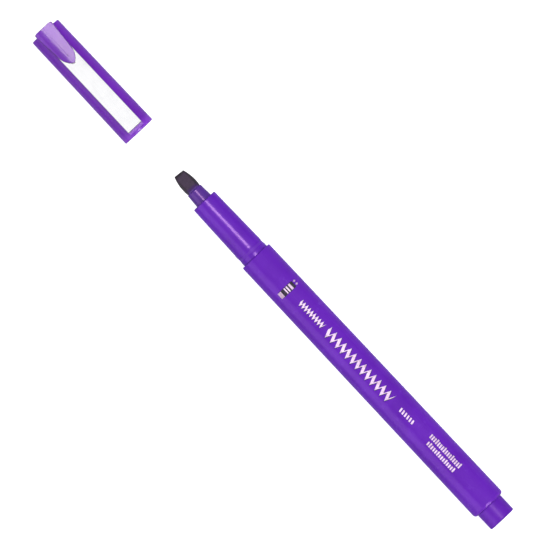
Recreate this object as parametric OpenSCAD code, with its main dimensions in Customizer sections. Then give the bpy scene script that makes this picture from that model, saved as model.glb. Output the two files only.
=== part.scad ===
// Calligraphy marker with its cap pulled off, lying on a flat surface.
// +X points from the tail to the nib, +Z is up, and the origin is under the middle of the whole length.

/* [Barrel] */
// Length of the barrel between its two end edges
barrel_len = 95.6; // [80:0.1:110]
// Outer diameter at the front edge
barrel_front_d = 10.1; // [9.9:0.05:10.3]
// Outer diameter at the rear edge
barrel_rear_d = 10.6; // [10.3:0.05:11]
// Diameter of the bore
barrel_bore_d = 8.2; // [8.1:0.05:8.25]
// Radius of the rounded rear edge
barrel_rear_round = 1; // [0.5:0.1:1]

/* [Tail plug] */
// Diameter of the plug behind the barrel
tail_d = 8.5; // [8:0.05:8.7]
// Length of the plug behind the barrel
tail_len = 5.5; // [4:0.1:8]

/* [Front section] */
// Length of the section in front of the barrel
section_len = 21.2; // [20:0.1:24]
// Diameter at the front edge of the section
section_front_d = 7.86; // [7.8:0.02:7.9]
// Diameter at the rear of the section's taper
section_rear_d = 8.36; // [8.3:0.02:8.4]
// Length of the thin nose
nose_len = 4.1; // [3.5:0.1:4.5]
// Diameter of the nose where it leaves the section
nose_rear_d = 5.24; // [5.1:0.02:5.4]
// Diameter of the nose beside the nib
nose_front_d = 4.84; // [4.75:0.01:5]

/* [Nib] */
// Length of the nib in front of the nose
nib_head_len = 6.4; // [5:0.1:7]
// Widest diameter of the nib
nib_head_d = 4.69; // [4.5:0.01:4.7]
// Thickness of the writing edge
nib_edge_t = 0.75; // [0.5:0.05:1]
// Slant of the writing edge, in degrees
nib_slant = 4.5; // [0:0.5:10]
// Diameter of the nib's shank
nib_shank_d = 3.5; // [3:0.1:3.6]

/* [Ink reservoir] */
// Diameter of the fibre core
core_d = 6.6; // [6:0.1:6.6]
// Length of the fibre core
core_len = 85; // [70:1:85]
// Thickness of the film round the core
film_t = 0.1; // [0.05:0.01:0.12]

/* [Cap] */
// Distance from the nib's tip to the rim of the pulled-off cap
cap_gap = 16; // [2:0.5:30]
// Length of the cap's tube
cap_len = 38.6; // [38.5:0.1:42]
// Outer diameter at the rim
cap_rim_d = 10.2; // [10.1:0.05:10.4]
// Outer diameter at the closed end
cap_end_d = 9.76; // [9.7:0.02:10]
// Width of the crown, which is also the tongue's width at the closed end
crown_w = 6.2; // [6:0.1:6.4]
// Height of the crown beyond the tube
crown_h = 1; // [0.6:0.1:1.5]
// Distance from the rim to the tip of the tongue
tongue_tip_u = 26.4; // [26:0.1:27]

/* [Clip] */
// Width of the clip
clip_w = 4.95; // [4.5:0.05:5]
// Thickness of the clip
clip_t = 0.5; // [0.4:0.05:0.6]
// Distance from the rim to the clip's free end
clip_end_u = 1.55; // [1.5:0.05:2]
// Gap between the cap and the clip at the clip's root
clip_rise = 1; // [0.8:0.1:1]

/* [Hidden] */
$fn = 96;

fit = 0.03;
face_gap = 0.02;
small_round = 0.3;
barrel_color = "#682DB7";
section_color = "#642EB9";
cap_color = "#6D32B0";
nib_color = "#463A4E";

// Places along the pen, counted from the end of the tail.
barrel_z0 = tail_len;
barrel_z1 = barrel_z0 + barrel_len;
section_z1 = barrel_z1 + section_len;
nose_z1 = section_z1 + nose_len;
nib_z1 = nose_z1 + nib_head_len;
rim_z = nib_z1 + cap_gap;
total_len = rim_z + cap_len + crown_h;
tail_x = -total_len / 2;
rim_x = tail_x + rim_z;

barrel_front_r = barrel_front_d / 2;
barrel_rear_r = barrel_rear_d / 2;
bore_r = barrel_bore_d / 2;
axis_z = barrel_rear_r;
tail_r = tail_d / 2;
spigot_r = bore_r - fit;

// Six ribs in the barrel centre the reservoir and leave air channels between them.
rib_count = 6;
rib_w = 0.8;
rib_z0 = barrel_z0 + 8.5;
rib_z1 = barrel_z1 - 13;

// Both spigots start with a short cone. The section's snap bead sits in a groove of the barrel.
lead_len = 0.5;
lead_in = 0.3;
spigot_len = 11;
snap_z = barrel_z1 - 5.5;
snap_h = 0.12;
snap_half = 0.7;

section_front_r = section_front_d / 2;
section_rear_r = section_rear_d / 2;
nose_front_r = nose_front_d / 2;
nose_rear_r = nose_rear_d / 2;
flare_r = 4.26;
flare_len = 0.75;
valley_r = 4.12;
valley_z = barrel_z1 + 1.95;
valley_len = 0.1;
bead_r = 4.24;
bead_z = barrel_z1 + 3.2;
bead_len = 0.3;
taper_z = barrel_z1 + 4.5;
chamber_z1 = barrel_z1 + 6.4;
chamber_cone = 1.6;

nib_shank_r = nib_shank_d / 2;
nib_bore_r = nib_shank_r + fit;
nib_side_r = 13;
nib_wide_z = 1.9;
nib_flat_h = 2;
nib_shank_z0 = barrel_z1 - 0.1;
air_groove_w = 0.6;
air_groove_h = 0.35;

core_r = core_d / 2;
core_z1 = chamber_z1 - 1.5;
core_z0 = core_z1 - core_len;
film_r0 = core_r + face_gap;
film_r1 = film_r0 + film_t;
film_short = 0.3;
rib_tip_r = film_r1 + 0.06;
chamber_r = film_r1 + 0.06;

// The tail plug is a cup with a cross of blades, whose rear ends carry the reservoir.
tail_round = 0.4;
plug_spigot_len = 7;
plug_wall = 1.2;
plug_cup_r = 3.2;
plug_web_short = 1;
plug_blade_t = 0.9;
plug_blade_r = 3.1;
plug_end_gap = 0.2;

// Places along the cap, counted from its rim towards its closed end.
cap_rim_r = cap_rim_d / 2;
cap_end_r = cap_end_d / 2;
cap_wall = 1.2;
cap_mouth_r = 4.5;
mouth_flare = 0.1;
rim_round = 0.2;
cap_snap_r = bead_r + fit;
cap_snap_u = valley_z - barrel_z1;
snap_ring_half = 0.6;
snap_ring_flat = 0.15;
cap_bore_r = 4.45;
liner_seat_u = 17;
liner_seat_r = 4.35;

pad_w = 4.9;
pad_u0 = 0.7;
pad_u1 = 3;
pad_bevel = 0.42;
pad_h = 0.36;
pad_top = cap_rim_r + pad_h;

liner_r = liner_seat_r - fit;
liner_lead = 0.14;
liner_end_gap = 0.1;
liner_u0 = 17.5;
liner_lip_u = section_len + 0.4;
liner_lip_r = 4.01;
liner_hollow_r = 3.2;
liner_hollow_u = section_len + nose_len + nib_head_len + 1.4;
liner_wall = 1;
liner_end_u = liner_hollow_u + liner_wall;
liner_body_r = 3.9;
liner_fin_t = 0.8;
liner_fin_r0 = 3;

stem_r = 2.2;
barb_r = 2.6;
barb_len = 0.9;
barb_taper = 0.4;
barb_band = 0.3;

// The tongue is an arm of the crown that clamps the clip's root onto the tube.
tongue_arch_u = 30.7;
tongue_arch_w = 4.9;
tongue_tip_round = 0.6;
tongue_crest_z = 7.9;
tongue_crest_round = 2;
tongue_flank = 6;
tongue_fall = 2;
tongue_corner = 0.8;

clip_root_z = cap_end_r + 0.06 + clip_rise;
clip_free_z = cap_rim_r + 0.7;
clip_bend_r = 0.75;
clip_straight_u = 27;
clip_tip_z = pad_top + face_gap;
tab_w = 3.2;
tab_u1 = 33.6;
tab_hole_u = 32.2;
tab_hole_r = 1;
shoulder_gap = 0.1;
peg_r = 0.7;
peg_root = 0.2;
pocket_side = 0.15;
pocket_end = 0.2;
pocket_below = 0.42;
pocket_above = 0.25;

// Points of an arc, with angles in degrees.
function arc(cx, cy, r, a0, a1, steps = 6) = [
    for (i = [0:steps]) let (a = a0 + (a1 - a0) * i / steps) [cx + r * cos(a), cy + r * sin(a)]
];

// Points of a smooth step from one [radius, place] to the next, level at both ends.
function ease(from, to, steps = 5) = [
    for (i = [0:steps]) let (t = i / steps)
        [from[0] + (to[0] - from[0]) * (1 - cos(180 * t)) / 2, from[1] + (to[1] - from[1]) * t]
];

// Outer radius of the cap's tube at a distance from its rim.
function cap_r(u) = cap_rim_r + (cap_end_r - cap_rim_r) * u / cap_len;

// Local +Z runs from the end of the tail towards the nib, and local -X is up.
module on_pen_axis() {
    translate([tail_x, 0, axis_z]) rotate([0, 90, 0]) children();
}

// Local +Z runs from the cap's rim towards its closed end, and local -X is up.
module on_cap_axis() {
    translate([rim_x, 0, axis_z]) rotate([0, 90, 0]) children();
}

// Local +X runs from the cap's rim towards its closed end, and local +Z is up from the cap's axis.
module on_cap() {
    translate([rim_x, 0, axis_z]) children();
}

// Extrudes a side view, drawn as [along, up], across the object.
module across(w) {
    rotate([90, 0, 0]) linear_extrude(w, center = true) children();
}

module turned(points) {
    rotate_extrude() polygon(points);
}

module barrel() {
    rear_centre_r = barrel_rear_r - barrel_rear_round;
    rear = arc(rear_centre_r, barrel_z0 + barrel_rear_round, barrel_rear_round, -90, 0, 8);
    front = arc(barrel_front_r - small_round, barrel_z1 - small_round, small_round, 0, 90, 4);
    groove_r = bore_r + snap_h;
    bore = [
        [bore_r, barrel_z1],
        [bore_r, snap_z + snap_half + fit],
        [groove_r, snap_z + snap_half / 2],
        [groove_r, snap_z - snap_half / 2],
        [bore_r, snap_z - snap_half - fit],
        [bore_r, barrel_z0]
    ];
    color(barrel_color) on_pen_axis() {
        turned(concat(rear, front, bore));
        for (i = [0:rib_count - 1]) {
            rotate([0, 0, (i + 0.5) * 360 / rib_count])
                translate([rib_tip_r, -rib_w / 2, rib_z0])
                    cube([bore_r - rib_tip_r + small_round, rib_w, rib_z1 - rib_z0]);
        }
    }
}

module tail_plug() {
    plug_z1 = barrel_z0 + plug_spigot_len;
    outline = concat(
        [[0, 0]],
        arc(tail_r - tail_round, tail_round, tail_round, -90, 0, 5),
        [
            [tail_r, barrel_z0 - face_gap],
            [spigot_r, barrel_z0 - face_gap],
            [spigot_r, plug_z1 - lead_len],
            [spigot_r - lead_in, plug_z1],
            [plug_cup_r, plug_z1],
            [plug_cup_r, plug_wall],
            [0, plug_wall]
        ]
    );
    blade_len = core_z0 - plug_end_gap - plug_wall / 2;
    web_len = plug_z1 - plug_web_short - plug_wall / 2;
    color(section_color) on_pen_axis() {
        turned(outline);
        for (turn = [0, 90]) {
            rotate([0, 0, turn]) translate([-plug_blade_r, -plug_blade_t / 2, plug_wall / 2])
                cube([2 * plug_blade_r, plug_blade_t, blade_len]);
            rotate([0, 0, turn]) translate([-plug_cup_r - lead_in, -plug_blade_t / 2, plug_wall / 2])
                cube([2 * (plug_cup_r + lead_in), plug_blade_t, web_len]);
        }
    }
}

module front_section() {
    spigot = [
        [chamber_r, barrel_z1 - spigot_len],
        [spigot_r - lead_in, barrel_z1 - spigot_len],
        [spigot_r, barrel_z1 - spigot_len + lead_len],
        [spigot_r, snap_z - snap_half],
        [spigot_r + snap_h, snap_z - snap_half / 2 + fit],
        [spigot_r + snap_h, snap_z + snap_half / 2 - fit],
        [spigot_r, snap_z + snap_half],
        [spigot_r, barrel_z1 + face_gap]
    ];
    grip = concat(
        [[flare_r, barrel_z1 + face_gap]],
        ease([flare_r, barrel_z1 + flare_len], [valley_r, valley_z]),
        ease([valley_r, valley_z + valley_len], [bead_r, bead_z - bead_len / 2]),
        ease([bead_r, bead_z + bead_len / 2], [section_rear_r, taper_z]),
        arc(section_front_r - small_round, section_z1 - small_round, small_round, 0, 90, 5)
    );
    nose = concat(
        [[nose_rear_r, section_z1]],
        arc(nose_front_r - small_round, nose_z1 - small_round, small_round, 0, 90, 5)
    );
    inside = [
        [nib_bore_r, nose_z1],
        [nib_bore_r, chamber_z1 + chamber_cone],
        [chamber_r, chamber_z1]
    ];
    color(section_color) on_pen_axis() difference() {
        turned(concat(spigot, grip, nose, inside));
        for (i = [0:2]) {
            rotate([0, 0, i * 120]) translate([0, -air_groove_w / 2, chamber_z1])
                cube([nib_bore_r + air_groove_h, air_groove_w, section_z1 - chamber_z1]);
        }
    }
}

// The head is a turned bullet shape, flattened to a chisel by two flats and cut off at a slant.
module nib() {
    base = nose_z1 + face_gap;
    wide_r = nib_head_d / 2;
    side_a0 = -asin((nib_wide_z - face_gap) / nib_side_r);
    side_a1 = asin((nib_head_len - nib_wide_z) / nib_side_r);
    edge_half_w = wide_r - nib_side_r * (1 - cos(side_a1));
    side = arc(wide_r - nib_side_r, nose_z1 + nib_wide_z, nib_side_r, side_a0, side_a1, 10);
    flats = [
        [-nib_flat_h, base - 1],
        [nib_flat_h, base - 1],
        [nib_flat_h, base],
        [nib_edge_t / 2, nib_z1 + 1],
        [-nib_edge_t / 2, nib_z1 + 1],
        [-nib_flat_h, base]
    ];
    slanted = [
        [-nib_head_d, base - 1],
        [nib_head_d, base - 1],
        [nib_head_d, nib_z1 + (nib_head_d - edge_half_w) * tan(nib_slant)],
        [-nib_head_d, nib_z1 - (nib_head_d + edge_half_w) * tan(nib_slant)]
    ];
    color(nib_color) on_pen_axis() {
        intersection() {
            turned(concat([[0, base]], side, [[0, nib_z1]]));
            rotate([90, 0, 0]) linear_extrude(2 * nib_head_d, center = true) polygon(flats);
            rotate([90, 0, 90]) linear_extrude(2 * nib_head_d, center = true) polygon(slanted);
        }
        translate([0, 0, nib_shank_z0]) cylinder(r = nib_shank_r, h = base - nib_shank_z0 + 0.5);
    }
}

module reservoir_core() {
    color("Thistle") on_pen_axis() difference() {
        translate([0, 0, core_z0]) cylinder(r = core_r, h = core_len);
        translate([0, 0, nib_shank_z0 - fit]) cylinder(r = nib_bore_r, h = core_z1 - nib_shank_z0 + 1);
    }
}

module reservoir_film() {
    color("WhiteSmoke") on_pen_axis() translate([0, 0, core_z0 + film_short])
        turned([
            [film_r0, 0],
            [film_r1, 0],
            [film_r1, core_len - 2 * film_short],
            [film_r0, core_len - 2 * film_short]
        ]);
}

module cap_shell() {
    outside = concat(
        [[0, 0]],
        arc(cap_rim_r - rim_round, rim_round, rim_round, -90, 0, 4),
        arc(cap_end_r - small_round, cap_len - small_round, small_round, 0, 90, 5),
        [[0, cap_len]]
    );
    inside = [
        [0, -1],
        [cap_mouth_r + mouth_flare, -1],
        [cap_mouth_r + mouth_flare, 0],
        [cap_mouth_r, small_round],
        [cap_mouth_r, cap_snap_u - snap_ring_half],
        [cap_snap_r, cap_snap_u - snap_ring_flat],
        [cap_snap_r, cap_snap_u + snap_ring_flat],
        [cap_bore_r, cap_snap_u + snap_ring_half],
        [cap_bore_r, liner_seat_u - 0.2],
        [liner_seat_r, liner_seat_u],
        [liner_seat_r, cap_len - cap_wall],
        [stem_r + fit, cap_len - cap_wall],
        [stem_r + fit, cap_len + 1],
        [0, cap_len + 1]
    ];
    color(cap_color) difference() {
        union() {
            on_cap_axis() turned(outside);
            on_cap() across(pad_w)
                polygon([
                    [pad_u0, 0],
                    [pad_u0, pad_top - pad_bevel],
                    [pad_u0 + pad_bevel, pad_top],
                    [pad_u1, pad_top],
                    [pad_u1 + pad_h, pad_top - pad_h],
                    [pad_u1 + pad_h, 0]
                ]);
        }
        on_cap_axis() turned(inside);
    }
}

// Top view of the tongue: straight sides that draw together, then two arcs that run into a small round tip.
function tongue_outline() = let (
    end_u = cap_len + crown_h,
    half = tongue_arch_w / 2,
    tip = tongue_tip_round,
    reach = tongue_arch_u - tongue_tip_u - tip,
    r = (reach * reach + half * half - tip * tip) / (2 * (half - tip)),
    a = 180 - atan((r - half) / reach),
    side = concat(
        arc(end_u - tongue_corner, crown_w / 2 - tongue_corner, tongue_corner, 0, 90, 5),
        arc(tongue_arch_u, half - r, r, 90, a, 8),
        [for (i = [1:4]) let (b = a + (180 - a) * i / 4) [tongue_tip_u + tip + tip * cos(b), tip * sin(b)]]
    )
) concat(side, [for (i = [len(side) - 2:-1:0]) [side[i][0], -side[i][1]]]);

// Cross-section of the tongue: two flanks and a rounded crest.
function tongue_section() = let (
    reach = crown_w,
    crest_z0 = tongue_crest_z - tongue_crest_round,
    crest = arc(0, crest_z0, tongue_crest_round, 90 - tongue_flank, 90 + tongue_flank, 6),
    low = crest[0][1] - (reach - crest[0][0]) * tan(tongue_flank)
) concat([[-reach, -crown_w], [reach, -crown_w], [reach, low]], crest, [[-reach, low]]);

module tongue() {
    end_u = cap_len + crown_h;
    pocket_z0 = clip_root_z - pocket_below;
    pocket_z1 = clip_root_z + clip_t + pocket_above;
    difference() {
        intersection() {
            linear_extrude(2 * tongue_crest_z) polygon(tongue_outline());
            translate([end_u, 0, 0]) rotate([90, 0, 90]) rotate([-tongue_fall, 0, 0])
                translate([0, 0, -end_u]) linear_extrude(end_u + crown_h) polygon(tongue_section());
        }
        rotate([0, 90, 0]) turned([
            [0, -1],
            [cap_r(-1) + fit, -1],
            [cap_r(cap_len) + fit, cap_len],
            [cap_r(cap_len) + fit, cap_len + face_gap],
            [0, cap_len + face_gap]
        ]);
        // The clip passes under the arch and its tab lies in a pocket behind it.
        translate([0, -crown_w, 0]) cube([tongue_arch_u, 2 * crown_w, pocket_z1]);
        translate([tongue_arch_u - 1, -tab_w / 2 - pocket_side, pocket_z0])
            cube([tab_u1 + pocket_end + 1 - tongue_arch_u, tab_w + 2 * pocket_side, pocket_z1 - pocket_z0]);
    }
    translate([tab_hole_u, 0, pocket_z0 - peg_root])
        cylinder(r = peg_r, h = pocket_z1 - pocket_z0 + 2 * peg_root);
}

module cap_crown() {
    barb_u = cap_len - cap_wall - fit;
    plug = concat(
        [
            [0, barb_u - barb_len],
            [barb_r - barb_taper, barb_u - barb_len],
            [barb_r, barb_u - barb_band],
            [barb_r, barb_u],
            [stem_r, barb_u],
            [stem_r, cap_len + face_gap],
            [crown_w / 2, cap_len + face_gap]
        ],
        arc(crown_w / 2 - small_round, cap_len + crown_h - small_round, small_round, 0, 90, 5),
        [[0, cap_len + crown_h]]
    );
    color(cap_color) {
        on_cap_axis() turned(plug);
        on_cap() tongue();
    }
}

module inner_cap() {
    liner = [
        [liner_lip_r + liner_lead, liner_u0],
        [liner_r, liner_u0],
        [liner_r, liner_lip_u + liner_wall],
        [liner_body_r, liner_lip_u + 2 * liner_wall],
        [liner_body_r, liner_end_u],
        [0, liner_end_u],
        [0, liner_hollow_u],
        [liner_hollow_r, liner_hollow_u],
        [liner_hollow_r, liner_lip_u],
        [liner_lip_r, liner_lip_u],
        [liner_lip_r, liner_u0 + lead_len]
    ];
    fin_u0 = liner_lip_u + 3 * liner_wall;
    fin_u1 = cap_len - cap_wall - liner_end_gap;
    color("Ivory") on_cap_axis() {
        turned(liner);
        for (i = [0:3]) {
            rotate([0, 0, 45 + 90 * i]) translate([liner_fin_r0, -liner_fin_t / 2, fin_u0])
                cube([liner_r - liner_fin_r0, liner_fin_t, fin_u1 - fin_u0]);
        }
    }
}

module clip() {
    bend_u = clip_end_u + clip_bend_r;
    free_top = clip_free_z + clip_t;
    shoulder_u = tongue_arch_u - shoulder_gap;
    side = concat(
        [[tab_u1, clip_root_z], [tab_u1, clip_root_z + clip_t], [clip_straight_u, clip_root_z + clip_t]],
        arc(bend_u, free_top - clip_bend_r, clip_bend_r, 90, 180, 8),
        [[clip_end_u, clip_tip_z], [clip_end_u + clip_t, clip_tip_z]],
        arc(bend_u, free_top - clip_bend_r, clip_bend_r - clip_t, 180, 90, 6),
        [[clip_straight_u, clip_root_z]]
    );
    top = [
        [0, -clip_w / 2],
        [shoulder_u, -clip_w / 2],
        [shoulder_u, -tab_w / 2],
        [tab_u1 + 1, -tab_w / 2],
        [tab_u1 + 1, tab_w / 2],
        [shoulder_u, tab_w / 2],
        [shoulder_u, clip_w / 2],
        [0, clip_w / 2]
    ];
    color("#F4F4F4") on_cap() difference() {
        intersection() {
            across(2 * clip_w) polygon(side);
            linear_extrude(2 * tongue_crest_z) polygon(top);
        }
        translate([tab_hole_u, 0, 0]) cylinder(r = tab_hole_r, h = 2 * tongue_crest_z);
    }
}

barrel();
tail_plug();
front_section();
nib();
reservoir_core();
reservoir_film();
cap_shell();
cap_crown();
inner_cap();
clip();
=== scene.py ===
"""The looks of a calligraphy marker with its cap pulled off, built round its CAD frame.

Lengths are in metres in the frame of the CAD, where +X runs from the tail to the nib and +Z is up,
unless a name ends in _mm. Angles are in radians unless a name ends in _deg.
"""

import math

import bmesh
import bpy
import numpy as np
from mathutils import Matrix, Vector, noise


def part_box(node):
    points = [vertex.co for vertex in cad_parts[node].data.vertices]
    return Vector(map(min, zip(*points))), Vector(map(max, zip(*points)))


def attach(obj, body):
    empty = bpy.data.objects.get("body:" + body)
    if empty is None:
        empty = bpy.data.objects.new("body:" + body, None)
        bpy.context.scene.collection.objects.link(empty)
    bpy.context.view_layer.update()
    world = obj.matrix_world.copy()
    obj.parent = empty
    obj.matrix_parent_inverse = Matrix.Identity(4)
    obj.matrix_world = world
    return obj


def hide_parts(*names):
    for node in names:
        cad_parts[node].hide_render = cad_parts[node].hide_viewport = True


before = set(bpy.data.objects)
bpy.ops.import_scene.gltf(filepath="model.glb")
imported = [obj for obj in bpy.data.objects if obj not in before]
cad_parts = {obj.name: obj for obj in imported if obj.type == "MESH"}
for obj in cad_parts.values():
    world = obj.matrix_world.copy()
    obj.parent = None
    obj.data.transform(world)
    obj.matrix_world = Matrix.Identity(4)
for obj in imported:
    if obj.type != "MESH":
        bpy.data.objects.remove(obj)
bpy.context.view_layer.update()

MM = 0.001
STEPS = 192
BARREL_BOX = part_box("barrel")
AXIS_Z = (BARREL_BOX[0].z + BARREL_BOX[1].z) / 2
DEG = math.pi / 180


# ---------------------------------------------------------------- mesh tools


def piece(name, mesh, material, body, slot, *nodes):
    """Puts a mesh in the scene as a piece of the marker that rides on a body and replaces CAD nodes."""
    made = bpy.data.objects.new(name, mesh)
    bpy.context.scene.collection.objects.link(made)
    mesh.materials.clear()
    mesh.materials.append(material)
    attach(made, body)
    if nodes:
        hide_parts(*nodes)
    return made


def mesh_of(name, points, faces):
    """A mesh from points and faces, with its normals turned outwards."""
    mesh = bpy.data.meshes.new(name)
    mesh.from_pydata([tuple(p) for p in points], [], faces)
    work = bmesh.new()
    work.from_mesh(mesh)
    bmesh.ops.recalc_face_normals(work, faces=work.faces)
    work.to_mesh(mesh)
    work.free()
    return mesh


def shaded(mesh, sharp_deg=32):
    """Smooth shading, with edges above an angle kept sharp."""
    mesh.polygons.foreach_set("use_smooth", [True] * len(mesh.polygons))
    mesh.set_sharp_from_angle(angle=sharp_deg * DEG)
    return mesh


def settled(mesh, modify):
    """The mesh after the modifiers that modify(object) adds."""
    holder = bpy.data.objects.new("holder", mesh)
    bpy.context.scene.collection.objects.link(holder)
    modify(holder)
    graph = bpy.context.evaluated_depsgraph_get()
    made = bpy.data.meshes.new_from_object(holder.evaluated_get(graph))
    bpy.data.objects.remove(holder)
    return made


def combined(mesh, tool, operation):
    """The mesh joined with, or cut by, another closed mesh."""
    cutter = bpy.data.objects.new("cutter", tool)
    bpy.context.scene.collection.objects.link(cutter)

    def modify(holder):
        modifier = holder.modifiers.new("combine", "BOOLEAN")
        modifier.operation = operation
        modifier.solver = "EXACT"
        modifier.object = cutter

    made = settled(mesh, modify)
    bpy.data.objects.remove(cutter)
    return made


def block(lo, hi, turn=0.0):
    """A box between two corners, turned about the marker's axis."""
    c, s = math.cos(turn), math.sin(turn)
    points = []
    for x in (lo[0], hi[0]):
        for y, z in ((lo[1], lo[2]), (hi[1], lo[2]), (hi[1], hi[2]), (lo[1], hi[2])):
            points.append((x, y * c - z * s, y * s + z * c + AXIS_Z))
    faces = [(0, 1, 2, 3), (7, 6, 5, 4), (0, 4, 5, 1), (1, 5, 6, 2), (2, 6, 7, 3), (3, 7, 4, 0)]
    return mesh_of("block", points, faces)


def ring_radii(node):
    """{distance along the axis: radii of the CAD node's corners there}, rounded for look-up."""
    found = {}
    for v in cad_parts[node].data.vertices:
        radius = math.hypot(v.co.y, v.co.z - AXIS_Z)
        found.setdefault(round(v.co.x * 1e6), set()).add(round(radius, 8))
    return found


def outline(node, turn_deg):
    """The (along, radius) outline of a turned CAD node, cut by a half plane that leaves the axis at an angle.

    Places are compared in steps of 0.1 micrometres. Only points near the CAD's own corners are kept, and
    each takes the radius of the corners there.
    """
    turn = turn_deg * DEG
    out = Vector((0, math.cos(turn), math.sin(turn)))
    side = Vector((0, -math.sin(turn), math.cos(turn)))
    axis = Vector((0, 0, AXIS_Z))
    work = bmesh.new()
    work.from_mesh(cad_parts[node].data)
    bmesh.ops.remove_doubles(work, verts=work.verts, dist=2e-7)
    for normal, half in ((out, True), (side, False)):
        everything = work.verts[:] + work.edges[:] + work.faces[:]
        cut = bmesh.ops.bisect_plane(
            work, geom=everything, plane_co=axis, plane_no=normal, dist=1e-9, clear_inner=half
        )
    links = {}
    for edge in (g for g in cut["geom_cut"] if isinstance(g, bmesh.types.BMEdge)):
        a, b = (tuple(round(c * 1e7) for c in (v.co.x, (v.co - axis).dot(out))) for v in edge.verts)
        if a != b:
            links.setdefault(a, set()).add(b)
            links.setdefault(b, set()).add(a)
    work.free()
    ends = [p for p in links if len(links[p]) == 1]
    chain = [min(ends) if ends else min(links)]
    while True:
        ahead = [p for p in links[chain[-1]] if p not in chain]
        if not ahead:
            break
        chain.append(ahead[0])
    rings = ring_radii(node)
    points = []
    for x, r in chain:
        x, r = x * 1e-7, r * 1e-7
        near = [q for k in (-1, 0, 1) for q in rings.get(round(x * 1e6) + k, ()) if abs(q - r) < 3e-5]
        if r < 1e-6:
            points.append((x, 0.0))
        elif near:
            points.append((x, max(near)))
    return without_doubles(points)


def without_doubles(points):
    """The outline without repeated points or points in the middle of a straight line."""
    kept = []
    for p in points:
        if not kept or math.dist(p, kept[-1]) > 3e-6:
            kept.append(p)
    if math.dist(kept[0], kept[-1]) < 3e-6:
        kept.pop()
    done = []
    for i, p in enumerate(kept):
        before, after = np.array(kept[i - 1]), np.array(kept[(i + 1) % len(kept)])
        chord = after - before
        away = abs(chord[0] * (p[1] - before[1]) - chord[1] * (p[0] - before[0])) / np.hypot(*chord)
        if away > 4e-7 or p[1] == 0:
            done.append(p)
    return done


def eased(points, radius):
    """The closed outline with its corners rounded and with holding points beside them, for clean shading."""
    least_bend, most_share, hold = 20 * DEG, 0.42, 0.05 * MM
    out, count = [], len(points)
    for i in range(count):
        a, p, b = (np.array(points[(i + k) % count]) for k in (-1, 0, 1))
        back, ahead = a - p, b - p
        len_a, len_b = np.hypot(*back), np.hypot(*ahead)
        back, ahead = back / len_a, ahead / len_b
        bend = math.pi - math.acos(max(-1, min(1, float(back @ ahead))))
        if bend < least_bend or p[1] < 1e-7:
            out.append(tuple(p))
            continue
        reach = min(radius * math.tan(bend / 2), most_share * len_a, most_share * len_b)
        for t in np.linspace(0, 1, 5):
            q = p + back * reach * (1 - t) ** 2 + ahead * reach * t**2
            out.append(tuple(q))
    held, count = [], len(out)
    for i in range(count):
        a, b = np.array(out[i]), np.array(out[(i + 1) % count])
        held.append(tuple(a))
        length = float(np.hypot(*(b - a)))
        if length > 0.5 * MM and (a[1] > 0 or b[1] > 0):
            for t in (hold / length, 0.5, 1 - hold / length):
                held.append(tuple(a + (b - a) * t))
    return held


def lathe(name, points, steps=STEPS):
    """Turns a closed (along, radius) outline about the marker's axis into a closed mesh."""
    verts, rings = [], []
    for x, r in points:
        if r < 1e-7:
            rings.append([len(verts)] * steps)
            verts.append((x, 0, AXIS_Z))
            continue
        rings.append(range(len(verts), len(verts) + steps))
        for k in range(steps):
            a = 2 * math.pi * k / steps
            verts.append((x, r * math.cos(a), AXIS_Z + r * math.sin(a)))
    faces = []
    for i, ring in enumerate(rings):
        after = rings[(i + 1) % len(rings)]
        if ring[0] == ring[1] and after[0] == after[1]:
            continue
        for k in range(steps):
            m = (k + 1) % steps
            corners = [ring[k], ring[m], after[m], after[k]]
            faces.append(tuple(dict.fromkeys(corners)))
    return mesh_of(name, verts, faces)


def remeshed(node, voxel_mm, rounds, strength=0.5):
    """A copy of a CAD node with even faces and slightly rounded edges."""
    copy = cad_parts[node].data.copy()
    work = bmesh.new()
    work.from_mesh(copy)
    bmesh.ops.remove_doubles(work, verts=work.verts, dist=2e-7)
    work.to_mesh(copy)
    work.free()

    def modify(holder):
        modifier = holder.modifiers.new("remesh", "REMESH")
        modifier.mode = "VOXEL"
        modifier.voxel_size = voxel_mm * MM
        modifier = holder.modifiers.new("smooth", "SMOOTH")
        modifier.factor = strength
        modifier.iterations = rounds

    return settled(copy, modify)


def bevelled(mesh, width_mm, angle_deg, segments=3):
    """The mesh with its flat faces whole and its edges rounded."""
    work = bmesh.new()
    work.from_mesh(mesh)
    bmesh.ops.remove_doubles(work, verts=work.verts, dist=2e-7)
    bmesh.ops.dissolve_limit(work, angle_limit=0.5 * DEG, verts=work.verts, edges=work.edges)
    made = bpy.data.meshes.new("bevelled")
    work.to_mesh(made)
    work.free()

    def modify(holder):
        modifier = holder.modifiers.new("bevel", "BEVEL")
        modifier.width = width_mm * MM
        modifier.segments = segments
        modifier.limit_method = "ANGLE"
        modifier.angle_limit = angle_deg * DEG
        modifier.harden_normals = False

    return settled(made, modify)


# ---------------------------------------------------------------- material tools


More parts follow.
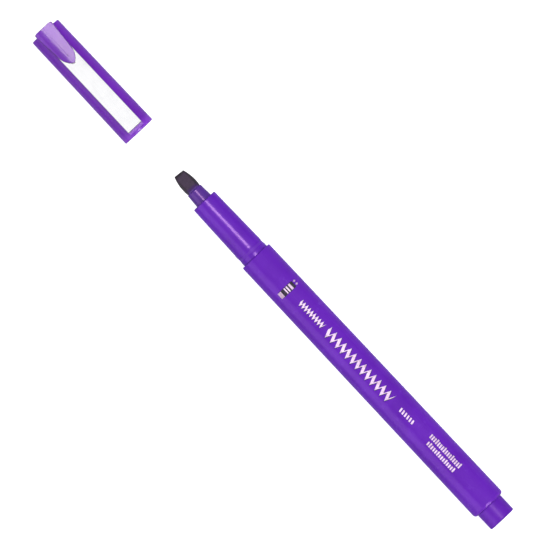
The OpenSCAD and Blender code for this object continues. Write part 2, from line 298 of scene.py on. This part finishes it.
class Shader:
    """A material with one Principled shader, and short ways to add nodes to it."""

    def __init__(self, name, colour, **sockets):
        self.material = bpy.data.materials.new(name)
        self.material.use_nodes = True
        self.tree = self.material.node_tree
        self.main = self.tree.nodes["Principled BSDF"]
        self.main.inputs["Base Color"].default_value = (*colour, 1)
        for socket, value in sockets.items():
            if isinstance(value, tuple):
                value = (*value, 1)
            self.main.inputs[socket.replace("_", " ")].default_value = value
        self.material.diffuse_color = (*colour, 1)
        coordinates = self.tree.nodes.new("ShaderNodeTexCoord")
        self.place = coordinates.outputs["Object"]

    def node(self, kind, **settings):
        """Adds a node. A setting with a capital is an input, set or linked, and any other is a property."""
        made = self.tree.nodes.new("ShaderNode" + kind)
        for key, value in settings.items():
            if key[0].islower():
                setattr(made, key, value)
            elif isinstance(value, bpy.types.NodeSocket):
                self.tree.links.new(value, made.inputs[key])
            else:
                made.inputs[key].default_value = value
        return made

    def stretched(self, scale_per_mm):
        """Object coordinates in features per millimetre along X, Y and Z."""
        scale = [s / MM for s in scale_per_mm]
        return self.node("Mapping", Vector=self.place, Scale=scale).outputs[0]

    def noise(self, scale_per_mm, detail=3.0, roughness=0.5, distortion=0.0):
        """Noise with a number of features per millimetre, given once or for each axis."""
        if not isinstance(scale_per_mm, (tuple, list)):
            scale_per_mm = [scale_per_mm] * 3
        made = self.node(
            "TexNoise",
            Vector=self.stretched(scale_per_mm),
            Scale=1.0,
            Detail=detail,
            Roughness=roughness,
            Distortion=distortion,
        )
        return made.outputs[0]

    def along(self, axis="X"):
        """The place along an axis in millimetres."""
        split = self.node("SeparateXYZ", Vector=self.place)
        return self.calc(split.outputs[axis], 1 / MM, "MULTIPLY")

    def span(self, value, low, high, to_low=0.0, to_high=1.0):
        """A value moved from one span to another, and kept inside it."""
        made = self.node("MapRange", Value=value)
        for socket, number in zip(made.inputs[1:5], (low, high, to_low, to_high)):
            socket.default_value = number
        return made.outputs[0]

    def calc(self, a, b, operation="ADD"):
        """One number worked out from two."""
        made = self.node("Math", operation=operation)
        for socket, value in zip(made.inputs, (a, b)):
            if isinstance(value, bpy.types.NodeSocket):
                self.tree.links.new(value, socket)
            else:
                socket.default_value = value
        return made.outputs[0]

    def blend(self, share, low, high):
        """A colour between two, each a colour or a socket."""
        made = self.tree.nodes.new("ShaderNodeMix")
        made.data_type = "RGBA"
        self.tree.links.new(share, made.inputs[0])
        for socket, value in zip(made.inputs[6:8], (low, high)):
            if isinstance(value, bpy.types.NodeSocket):
                self.tree.links.new(value, socket)
            else:
                socket.default_value = (*value, 1)
        return made.outputs[2]

    def colour(self, socket):
        self.tree.links.new(socket, self.main.inputs["Base Color"])

    def roughness(self, socket):
        self.tree.links.new(socket, self.main.inputs["Roughness"])

    def bump(self, *layers):
        """Raises the surface by (height socket, depth in mm) layers."""
        normal = None
        for height, depth_mm in layers:
            bump = self.node(
                "Bump", invert=depth_mm < 0, Height=height, Strength=1.0, Distance=abs(depth_mm) * MM
            )
            if normal:
                self.tree.links.new(normal, bump.inputs["Normal"])
            normal = bump.outputs[0]
        self.tree.links.new(normal, self.main.inputs["Normal"])


# ---------------------------------------------------------------- materials


def moulded(
    name, colour, roughness, grain_mm, scuffs, streaks=0.0, change=None, edges=None, groove=None, **sockets
):
    """Moulded plastic: clouded colour, a fine skin, thin scratches and rubbed patches.

    The colour can change along the marker, where change is (start_mm, end_mm, colour past the end); on the
    section it is a stain, and on the barrel and the cap it is a lighter colour that paints light. The colour
    called edges goes on outward edges as painted shade. The groove, (middle_mm, half_mm), is duller than the
    rest.
    """
    s = Shader(name, colour, **sockets)
    cloud = s.noise(0.09, detail=4, roughness=0.6)
    speck = s.noise((0.8, 2.2, 2.2), detail=2)
    dark = [c * 0.93 for c in colour]
    light = [c * 1.06 + 0.0015 for c in colour]
    tint = s.blend(s.span(cloud, 0.35, 0.65), dark, light)
    rub = s.span(s.noise(0.3, detail=5, roughness=0.65), 0.56, 0.72)
    worn = [min(1, c * 1.2 + 0.012) for c in colour]
    tint = s.blend(s.calc(rub, 0.35 * scuffs, "MULTIPLY"), tint, worn)
    # The change paints light at the cap's rim and the barrel's rear end, and puts a real stain on the
    # section's nose.
    if change:
        start, end, there = change
        place = s.calc(s.along(), s.calc(cloud, 0.8, "MULTIPLY"))
        tint = s.blend(s.span(place, start + 0.4, end + 0.4), tint, there)
    # Painted shade: where edges is given, the outward edges, found by pointiness, take that dark colour.
    if edges:
        bend = s.node("NewGeometry").outputs["Pointiness"]
        tint = s.blend(s.span(bend, 0.511, 0.528), tint, edges)
    s.colour(tint)
    scratch = s.span(s.noise((0.12, 7, 7), detail=2, distortion=0.6), 0.62, 0.7)
    flow = s.noise((0.05, 3.0, 3.0), detail=2)
    level = s.span(speck, 0.3, 0.7, roughness - 0.03, roughness + 0.03)
    level = s.calc(level, s.calc(scratch, 0.10 * scuffs, "MULTIPLY"))
    level = s.calc(level, s.calc(rub, 0.10 * scuffs, "MULTIPLY"))
    if groove:
        middle, half = groove
        off = s.calc(s.calc(s.along(), middle, "SUBTRACT"), 0, "ABSOLUTE")
        level = s.calc(level, s.span(off, half, 0.6 * half, 0.0, 0.35))
    s.roughness(level)
    skin = s.noise(7.0, detail=2)
    s.bump((skin, grain_mm), (flow, streaks), (scratch, -0.0012 * scuffs))
    return s.material


def waxy(name):
    """Unfilled polypropylene of the liner."""
    s = Shader(name, (0.80, 0.78, 0.72), Roughness=0.42, Subsurface_Weight=0.25, Subsurface_Scale=0.002)
    s.main.inputs["Subsurface Radius"].default_value = (1.0, 0.9, 0.75)
    cloud = s.noise(0.25, detail=4)
    s.colour(s.blend(s.span(cloud, 0.35, 0.65), (0.74, 0.71, 0.64), (0.84, 0.82, 0.77)))
    s.roughness(s.span(s.noise(1.6), 0.3, 0.7, 0.36, 0.5))
    s.bump((s.noise(5.0), 0.004), (s.noise((0.2, 4, 4)), 0.003))
    return s.material


def film(name):
    """Thin wrapping film with lengthwise creases."""
    s = Shader(name, (0.86, 0.86, 0.88), Roughness=0.22, Specular_IOR_Level=0.6)
    crease = s.noise((0.15, 1.8, 1.8), detail=4, distortion=0.8)
    s.colour(s.blend(s.span(crease, 0.3, 0.7), (0.80, 0.79, 0.84), (0.90, 0.90, 0.92)))
    s.roughness(s.span(crease, 0.3, 0.7, 0.16, 0.32))
    s.bump((crease, 0.03), (s.noise(3.0), 0.004))
    return s.material


def fibre(name, colour, light, sheen):
    """Bundled fibres that run lengthwise, wet with ink."""
    s = Shader(name, colour, Roughness=0.7, Sheen_Weight=sheen, Sheen_Roughness=0.4)
    s.main.inputs["Sheen Tint"].default_value = (*light, 1)
    strands = s.noise((0.5, 9.0, 9.0), detail=4, roughness=0.6, distortion=0.5)
    blot = s.noise(0.45, detail=4)
    tint = s.blend(s.span(strands, 0.32, 0.68), colour, light)
    s.colour(s.blend(s.span(blot, 0.4, 0.68, 0.0, 0.55), tint, [c * 0.55 for c in colour]))
    s.roughness(s.span(strands, 0.3, 0.7, 0.58, 0.86))
    s.bump((strands, 0.03), (s.noise(4.0, detail=4), 0.02))
    return s.material


def felt(name):
    """Dense felt of the writing tip: short fibres, pores, painted shade round its sides and front edge, a
    violet root.
    """
    colour, light = (0.030, 0.018, 0.035), (0.072, 0.043, 0.085)
    s = Shader(name, colour, Roughness=0.78, Sheen_Weight=0.2, Sheen_Roughness=0.45)
    s.main.inputs["Sheen Tint"].default_value = (0.62, 0.55, 0.7, 1)
    strands = s.noise((1.3, 6.5, 6.5), detail=5, roughness=0.65, distortion=0.9)
    pores = s.span(s.noise(5.5, detail=3), 0.56, 0.72)
    tint = s.blend(s.span(strands, 0.34, 0.68), colour, light)
    tint = s.blend(s.calc(pores, 0.8, "MULTIPLY"), tint, (0.020, 0.012, 0.026))
    # Painted shade: the side and tip masks darken the nib's curved sides and its front edge.
    ragged = s.calc(s.noise(1.4, detail=4), 0.7, "MULTIPLY")
    side = s.span(s.calc(s.calc(s.along("Y"), 0, "ABSOLUTE"), ragged), 1.65, 2.3)
    tip = s.span(s.calc(s.along(), ragged), 37.7, 38.6)
    root = s.span(s.calc(s.along(), ragged), 34.0, 33.3)
    tint = s.blend(root, tint, (0.040, 0.010, 0.092))
    tint = s.blend(s.span(s.along(), 32.7, 32.45), tint, (0.079, 0.027, 0.22))
    # The mask called wet is painted shade on the sides and the front edge.
    wet = s.calc(side, tip, "MAXIMUM")
    s.colour(s.blend(s.calc(wet, 0.85, "MULTIPLY"), tint, (0.008, 0.006, 0.008)))
    s.roughness(s.span(strands, 0.3, 0.7, 0.66, 0.9))
    s.bump((strands, 0.022), (pores, -0.03), (s.noise(11.0, detail=3), 0.008))
    return s.material


def steel(name):
    """Bright rolled steel: fine lengthwise lines, small scratches and faint smears."""
    s = Shader(name, (0.93, 0.93, 0.935), Metallic=1.0, Roughness=0.2, Anisotropic=0.25)
    lines = s.noise((0.12, 16.0, 16.0), detail=3)
    smear = s.noise(0.28, detail=5, roughness=0.6)
    s.colour(s.blend(s.span(smear, 0.4, 0.75), (0.94, 0.94, 0.945), (0.89, 0.89, 0.90)))
    level = s.span(lines, 0.3, 0.7, 0.15, 0.26)
    s.roughness(s.calc(level, s.span(smear, 0.5, 0.75, 0.0, 0.06)))
    scratch = s.span(s.noise((0.35, 5, 5), detail=2, distortion=1.6), 0.66, 0.72)
    s.bump((lines, 0.0015), (scratch, -0.0015))
    return s.material


def foil(name):
    """Hot-stamped lilac-silver foil: slightly crinkled, with dull places where it is thin."""
    s = Shader(name, (0.92, 0.72, 0.97), Metallic=0.55, Roughness=0.28)
    patch = s.noise((0.7, 1.1, 1.1), detail=4, roughness=0.6)
    thin = s.span(s.noise((2.0, 2.6, 2.6), detail=3), 0.56, 0.74)
    tint = s.blend(s.span(patch, 0.42, 0.7), (0.93, 0.71, 1.0), (0.70, 0.49, 0.64))
    s.colour(s.blend(s.calc(thin, 0.7, "MULTIPLY"), tint, (0.42, 0.28, 0.50)))
    s.roughness(s.span(patch, 0.3, 0.7, 0.2, 0.42))
    s.bump((s.noise(3.2, detail=4), 0.006), (s.noise(9.0), 0.002))
    return s.material


def dark_ink(name):
    """Dark print under the foil: the gauge's ground, and a thin shadow line beside the other marks."""
    s = Shader(name, (0.02, 0.015, 0.03), Roughness=0.5)
    patch = s.noise(1.5, detail=4)
    s.colour(s.blend(s.span(patch, 0.4, 0.7), (0.016, 0.010, 0.026), (0.05, 0.032, 0.07)))
    s.roughness(s.span(patch, 0.3, 0.7, 0.4, 0.6))
    s.bump((s.noise(6.0), 0.003))
    return s.material


STAINED = (0.079, 0.026, 0.245)
# Painted light: RIM_LIT lightens the cap's rim, and JOINT_LIT lightens the barrel's rounded rear end beside
# the tail plug.
RIM_LIT = (0.205, 0.036, 0.53)
JOINT_LIT = (0.160, 0.026, 0.50)
PINKISH = (1.0, 0.58, 0.92)
WARM = (1.0, 0.90, 0.68)
# The barrel's rear end turns to JOINT_LIT, painted light where the joint would be in shade.
BARREL = moulded(
    "barrel_satin", (0.112, 0.0140, 0.406), 0.22, 0.003, 1.0, 0.003, (-87.6, -88.6, JOINT_LIT),
    Specular_IOR_Level=0.2, Specular_Tint=PINKISH,
)
SECTION = moulded(
    "section_gloss", (0.103, 0.0110, 0.403), 0.20, 0.0006, 0.5, 0.001, (27.7, 28.4, STAINED),
    groove=(8.82, 0.38), Specular_IOR_Level=0.4, Specular_Tint=PINKISH,
)
TAIL = moulded(
    "tail_gloss", (0.102, 0.0096, 0.382), 0.34, 0.0008, 0.6, 0.001,
    Specular_IOR_Level=0.20, Specular_Tint=PINKISH,
)
# The cap's rim turns to RIM_LIT, a painted light.
CAP = moulded(
    "cap_gloss", (0.140, 0.0135, 0.415), 0.19, 0.0012, 0.7, 0.002, (57.0, 55.4, RIM_LIT),
    Specular_Tint=WARM,
)
# The crown's edges colour is painted shade: a thin dark outline on its rounded edges.
CROWN = moulded(
    "crown_gloss", (0.140, 0.0135, 0.415), 0.19, 0.0012, 0.7, 0.002,
    edges=(0.05, 0.016, 0.085), Specular_Tint=WARM,
)
LINER = waxy("liner_wax")
FILM = film("wrap_film")
CORE = fibre("ink_core", (0.16, 0.06, 0.34), (0.34, 0.22, 0.52), 0.3)
FELT = felt("nib_felt")
STEEL = steel("clip_steel")
FOIL = foil("stamped_foil")
INK = dark_ink("dark_print")


# ---------------------------------------------------------------- the pen


def build_barrel():
    """The barrel's tube, with the six ribs that hold the reservoir."""
    node = "barrel"
    mesh = lathe(node, eased(outline(node, 97), 0.08 * MM))
    places = [v.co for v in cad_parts[node].data.vertices]
    radii = [math.hypot(c.y, c.z - AXIS_Z) for c in places]
    tip = min(radii)
    ends = [c.x for c, radius in zip(places, radii) if radius < tip + 0.5 * MM]
    ribs, half_w, root = 6, 0.4 * MM, 4.4 * MM
    for k in range(ribs):
        rib = block((min(ends), -half_w, tip), (max(ends), half_w, root), (k + 0.5) * 360 / ribs * DEG)
        mesh = combined(mesh, rib, "UNION")
    return piece("barrel_body", shaded(mesh), BARREL, "pen", "barrel_plastic", node)


def build_tail():
    """The plug in the barrel's rear end, with the cross of blades inside it."""
    node = "tail_plug"
    mesh = lathe(node, eased(outline(node, 43), 0.07 * MM))
    lo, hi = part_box(node)
    half_t, reach, wall = 0.45 * MM, 3.1 * MM, 0.6 * MM
    cross = combined(
        block((lo.x + wall, -half_t, -reach), (hi.x, half_t, reach)),
        block((lo.x + wall, -reach, -half_t), (hi.x, reach, half_t)),
        "UNION",
    )
    mesh = combined(mesh, cross, "UNION")
    return piece("tail_end", shaded(mesh), TAIL, "pen", "section_plastic", node)


def build_section():
    """The stepped front section and its nose."""
    node = "front_section"
    mesh = lathe(node, eased(outline(node, 3), 0.07 * MM))
    return piece("front_grip", shaded(mesh), SECTION, "pen", "section_plastic", node)


def build_nib():
    """The felt nib, with an uneven fibrous skin."""
    mesh = remeshed("nib", 0.06, 3)
    swell, long_ridge, fine_grain = 0.002, 0.014, 0.008
    places = [v.co / MM for v in mesh.vertices]
    normals = [v.normal.copy() for v in mesh.vertices]
    moved = []
    for p, normal in zip(places, normals):
        along = noise.noise(Vector((p.x * 1.1, p.y * 4.5, p.z * 4.5)))
        fine = noise.noise(Vector((p.x * 5.0, p.y * 8.0, p.z * 8.0)) + Vector((7, 3, 5)))
        moved.extend((p + normal * (long_ridge * along + fine_grain * fine + swell)) * MM)
    mesh.vertices.foreach_set("co", moved)
    mesh.update()
    return piece("nib_tip", shaded(mesh, 60), FELT, "pen", "nib_felt", "nib")


# ---------------------------------------------------------------- the cap


def build_cap_shell():
    """The cap's tube, with the raised pad under the clip's free end."""
    node = "cap_shell"
    mesh = lathe(node, eased(outline(node, -83), 0.07 * MM))
    lo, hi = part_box(node)
    rim = lo.x
    top = hi.z - AXIS_Z
    half_w, under = 2.45 * MM, 4.8 * MM
    foot = -0.9
    profile = [
        (0.7, -1.0), (0.7, -0.33), (0.74, -0.26), (1.08, -0.03), (1.16, 0.0), (2.9, 0.0),
        (3.02, -0.04), (3.34, -0.36), (3.36, -1.0),
    ]
    across = np.linspace(-1, 1, 13)
    points, faces = [], []
    for x, z in profile:
        for a in across:
            y = a * half_w
            low = math.sqrt(under**2 - y**2)
            height = max(top + z * MM, low) if z > foot else low
            points.append((rim + x * MM, y, height + AXIS_Z))
    width = len(across)
    for i in range(len(profile) - 1):
        for k in range(width - 1):
            a = i * width + k
            faces.append((a, a + 1, a + 1 + width, a + width))
    last = (len(profile) - 1) * width
    for k in range(width - 1):
        faces.append((k + 1, k, last + k, last + k + 1))
    for k in (0, width - 1):
        faces.append(tuple(i * width + k for i in range(len(profile))))
    pad = mesh_of("pad", points, faces)
    mesh = combined(mesh, pad, "UNION")
    return piece("cap_tube", shaded(mesh), CAP, "cap", "cap_plastic", node)


def build_crown():
    """The crown and its tongue, with a fine crease along the crest and a slight bulge beside it.

    Nothing rises above the CAD's own top.
    """
    mesh = remeshed("cap_crown", 0.06, 12)
    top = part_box("cap_crown")[1].z
    flank_w, bulge = 2.0 * MM, 0.058 * MM
    crease_w, crease = 0.17 * MM, 0.016 * MM
    moved = []
    for v in mesh.vertices:
        faces_up = v.normal.z > 0.9
        share, off = v.co.y / flank_w, abs(v.co.y) / crease_w
        rise = bulge * 4 * share * (1 - share) if faces_up and 0 < share < 1 else 0.0
        if faces_up and off < 1:
            rise -= crease * (1 + math.cos(math.pi * off)) / 2
        moved.extend((v.co.x, v.co.y, min(v.co.z + rise, top)))
    mesh.vertices.foreach_set("co", moved)
    mesh.update()
    return piece("cap_top", shaded(mesh, 70), CROWN, "cap", "cap_plastic", "cap_crown")


def build_clip():
    """The steel clip, with rolled edges."""
    mesh = bevelled(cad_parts["clip"].data, 0.09, 40)
    return piece("clip_strip", shaded(mesh, 40), STEEL, "clip", "clip_steel", "clip")


def dress_hidden_nodes():
    """Materials of the CAD nodes that stay as they are, inside the pen and the cap."""
    for node, material in (("reservoir_core", CORE), ("reservoir_film", FILM), ("inner_cap", LINER)):
        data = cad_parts[node].data
        data.materials.clear()
        data.materials.append(material)


# ---------------------------------------------------------------- printed marks


def barrel_radius(x):
    """Outer radius of the barrel's drafted side at a place along it."""
    lo, hi = BARREL_BOX
    rear, front = (hi.y - lo.y) / 2, 5.05 * MM
    share = (x - lo.x) / (hi.x - lo.x)
    return rear + (front - rear) * share


def printed(name, shapes, rise_mm, sink_mm, material, slot):
    """Wraps flat shapes, drawn in millimetres as seen from above, on the barrel as a thin closed skin."""
    work = bmesh.new()
    for shape in shapes:
        work.faces.new([work.verts.new((x, y, 0)) for x, y in shape])
    bmesh.ops.remove_doubles(work, verts=work.verts, dist=1e-4)
    step, cuts = 0.3, 16
    for k in range(-cuts, cuts + 1):
        everything = work.verts[:] + work.edges[:] + work.faces[:]
        bmesh.ops.bisect_plane(
            work, geom=everything, plane_co=(0, k * step, 0), plane_no=(0, 1, 0), dist=1e-5
        )
    raised = bmesh.ops.extrude_face_region(work, geom=work.faces[:], use_keep_orig=True)
    for v in (g for g in raised["geom"] if isinstance(g, bmesh.types.BMVert)):
        v.co.z = 1
    for v in work.verts:
        x, y = v.co.x * MM, v.co.y * MM
        base = barrel_radius(x)
        turn = math.asin(max(-1, min(1, y / base)))
        radius = base + (rise_mm if v.co.z > 0.5 else -sink_mm) * MM
        v.co = (x, radius * math.sin(turn), AXIS_Z + radius * math.cos(turn))
    bmesh.ops.recalc_face_normals(work, faces=work.faces)
    mesh = bpy.data.meshes.new(name)
    work.to_mesh(mesh)
    work.free()
    return piece(name, shaded(mesh, 30), material, "pen", slot)


def slanted(x, y0, y1, width, lean):
    """A pen stroke of one width from y0 to y1, leaning along X."""
    return [(x, y0), (x + width, y0), (x + width + lean, y1), (x + lean, y1)]


def lozenge(x, y, half_x, half_y):
    return [(x - half_x, y), (x, y - half_y), (x + half_x, y), (x, y + half_y)]


def zigzag(x0, x1, middle, height, waves, width, nib_deg):
    """Strokes of a zigzag drawn with a broad nib held steeper than the zigzag climbs, so none overlap."""
    nib = np.array([math.cos(nib_deg * DEG), math.sin(nib_deg * DEG)]) * width / 2
    corners = []
    for i in range(2 * waves + 1):
        swing = height / 2 if i % 2 else -height / 2
        corners.append(np.array([x0 + (x1 - x0) * i / (2 * waves), middle + swing]))
    return [
        [tuple(a - nib), tuple(b - nib), tuple(b + nib), tuple(a + nib)]
        for a, b in zip(corners, corners[1:])
    ]


def grown(shapes, by):
    """The shapes, each a little larger about its own middle."""
    out = []
    for shape in shapes:
        mid = np.mean(shape, axis=0)
        out.append([tuple(mid + (np.array(p) - mid) * (1 + by)) for p in shape])
    return out


def build_marks():
    """Generic ornament in the places of the marker's print: a gauge, zigzags, lozenges, bars and ticks."""
    gauge = [lozenge(-6.55, -3.1, 0.36, 0.42), lozenge(-5.5, -3.1, 0.36, 0.42)]
    for y0, y1 in ((-1.65, -1.0), (-0.5, -0.1), (0.3, 0.65), (1.75, 2.85)):
        gauge.append([(-6.95, y0), (-5.1, y0), (-5.1, y1), (-6.95, y1)])
    small = []
    for k in range(6):
        small.append(slanted(-57.4 + 0.95 * k, 0.42, -0.82, 0.5, 0.22))
    for k in range(16):
        tall = 0.0 if k % 4 else 0.25
        small.append(slanted(-75.3 + 0.77 * k, -0.72, -2.0 - tall, 0.48, 0.08))
    for k in range(14):
        tall = 0.0 if k % 4 else 0.22
        small.append(slanted(-74.9 + 0.79 * k, 1.25, 0.12 - tall, 0.48, 0.08))
    waves = [(-20.5, -11.1, -0.3, 1.25, 9, 0.95, 77), (-48.4, -22.1, -0.25, 2.2, 13, 1.3, 75)]
    foil_waves = [stroke for wave in waves for stroke in zigzag(*wave)]
    printed("foil_marks", gauge + small + foil_waves, 0.022, 0.03, FOIL, "print_foil")
    ground = [[(-7.1, -2.5), (-4.95, -2.5), (-4.95, 2.3), (-7.1, 2.3)]]
    for x0, x1, y, height, n, width, nib_deg in waves:
        ground += zigzag(x0 - 0.12, x1 - 0.12, y + 0.12, height, n, width + 0.25, nib_deg)
    printed("dark_marks", ground + grown(small, 0.10), 0.009, 0.03, INK, "print_dark")


# ---------------------------------------------------------------- the studio


def build_floor():
    """A plain white table, wide enough to fill every view."""
    half, steps = 2.2, 8
    ticks = np.linspace(-half, half, steps + 1)
    points = [(x, y, 0) for y in ticks for x in ticks]
    faces = []
    for j in range(steps):
        for i in range(steps):
            a = j * (steps + 1) + i
            faces.append((a, a + 1, a + steps + 2, a + steps + 1))
    mesh = bpy.data.meshes.new("table")
    mesh.from_pydata(points, [], faces)
    s = Shader("table_white", (0.95, 0.95, 0.95), Roughness=0.6)
    s.main.inputs["Specular IOR Level"].default_value = 0.2
    s.main.inputs["Emission Color"].default_value = (1, 1, 1, 1)
    s.main.inputs["Emission Strength"].default_value = 0.55
    grain = s.noise(0.05, detail=3)
    s.colour(s.blend(grain, (0.94, 0.94, 0.94), (0.96, 0.96, 0.96)))
    mesh.materials.append(s.material)
    floor = bpy.data.objects.new("table", mesh)
    bpy.context.scene.collection.objects.link(floor)
    floor.visible_glossy = False


def area_light(name, radiance, size, lean_deg, distance, kinds=("diffuse", "glossy"), only=(), axis="Y"):
    """A rectangular light of two sides in metres, leaning from overhead towards +Y, or -X, over the marker.

    It takes part only in the kinds of reflection given, and lights only the named pieces, if any are.
    """
    light = bpy.data.lights.new(name, "AREA")
    light.shape = "RECTANGLE"
    light.size, light.size_y = size
    light.energy = radiance * math.pi * size[0] * size[1]
    made = bpy.data.objects.new(name, light)
    bpy.context.scene.collection.objects.link(made)
    lean = lean_deg * DEG
    out, up = math.sin(lean) * distance, math.cos(lean) * distance
    made.location = (0, out, up) if axis == "Y" else (-out, 0, up)
    made.rotation_euler = (-lean, 0, 0) if axis == "Y" else (0, -lean, 0)
    made.visible_glossy = "glossy" in kinds
    made.visible_diffuse = "diffuse" in kinds
    made.visible_camera = False
    if only:
        lit = bpy.data.collections.new(name + "_lit")
        for piece_name in only:
            lit.objects.link(bpy.data.objects[piece_name])
        made.light_linking.receiver_collection = lit


def build_world():
    """A plain dome, brighter overhead than at the horizon."""
    world = bpy.data.worlds.new("studio")
    bpy.context.scene.world = world
    world.use_nodes = True
    tree = world.node_tree
    place = tree.nodes.new("ShaderNodeTexCoord")
    split = tree.nodes.new("ShaderNodeSeparateXYZ")
    height = tree.nodes.new("ShaderNodeMapRange")
    ramp = tree.nodes.new("ShaderNodeValToRGB")
    tree.links.new(place.outputs["Generated"], split.inputs[0])
    tree.links.new(split.outputs["Z"], height.inputs["Value"])
    height.inputs["From Min"].default_value = -1
    tree.links.new(height.outputs[0], ramp.inputs[0])
    tree.links.new(ramp.outputs[0], tree.nodes["Background"].inputs[0])
    stops = ramp.color_ramp.elements
    stops[0].position, stops[0].color = 0.0, (0.40, 0.40, 0.41, 1)
    stops[1].position, stops[1].color = 1.0, (0.66, 0.66, 0.67, 1)
    for position, grey in ((0.36, 0.26), (0.5, 0.10), (0.62, 0.18), (0.86, 0.56)):
        stops.new(position).color = (grey, grey, grey * 1.01, 1)


def build_lights():
    """Cards that show as reflections, one of which also lightens, and fills that only lighten."""
    cap, front, rear = ("cap_tube", "cap_top"), ("front_grip", "tail_end"), ("barrel_body", "tail_end")
    bright = ("clip_strip", "foil_marks")
    area_light("strip_front", 13.0, (0.8, 0.68), -9.4, 2.2, ("glossy",), front)
    area_light("strip_cap", 8.8, (2.4, 0.60), -9.4, 2.2, ("glossy",), ("cap_tube",))
    area_light("strip_crown", 8.8, (2.4, 0.86), -5.6, 2.2, ("glossy",), ("cap_top",))
    area_light("panel", 1.4, (2.4, 1.36), 64, 1.6, ("glossy",), ("front_grip", "nib_tip"))
    area_light("panel_rear", 2.8, (2.4, 1.36), 64, 1.6, ("glossy",), rear)
    area_light("panel_cap", 0.8, (2.4, 1.3), 68, 1.6, ("glossy",), cap)
    area_light("card", 0.42, (1.8, 1.8), 0, 2.0, only=bright)
    area_light("end_clip", 0.9, (1.6, 1.8), 58, 2.0, ("glossy",), ("clip_strip",), "X")
    area_light("end_cap", 3.0, (1.6, 1.8), 58, 2.0, ("glossy",), cap, "X")
    area_light("end_rear", 13.0, (3.2, 0.8), 66, 2.0, ("glossy",), ("barrel_body",), "X")
    area_light("fill_high", 2.2, (2.6, 2.6), -6, 2.6, ("diffuse",))
    area_light("fill_side", 0.78, (2.4, 1.3), -48, 1.8, ("diffuse",))
    area_light("fill_far", 0.62, (2.4, 1.3), 56, 1.8, ("diffuse",))


def build_camera():
    """Straight above the marker, turned so that it lies from the lower left to the upper right."""
    lens, sensor = 1400, 36
    turn_deg = -133.13
    data = bpy.data.cameras.new("camera")
    data.lens = lens
    data.sensor_width = sensor
    data.clip_end = 20
    camera = bpy.data.objects.new("camera", data)
    bpy.context.scene.collection.objects.link(camera)
    field = 154 * MM
    target = Vector((-0.66 * MM, -0.31 * MM, AXIS_Z))
    camera.location = target + Vector((0, 0, field * lens / sensor))
    camera.rotation_euler = (0, 0, turn_deg * DEG)
    bpy.context.scene.camera = camera
    bpy.context.scene.view_settings.view_transform = "Standard"


build_barrel()
build_tail()
build_section()
build_nib()
build_cap_shell()
build_crown()
build_clip()
build_marks()
dress_hidden_nodes()
build_floor()
build_world()
build_lights()
build_camera()
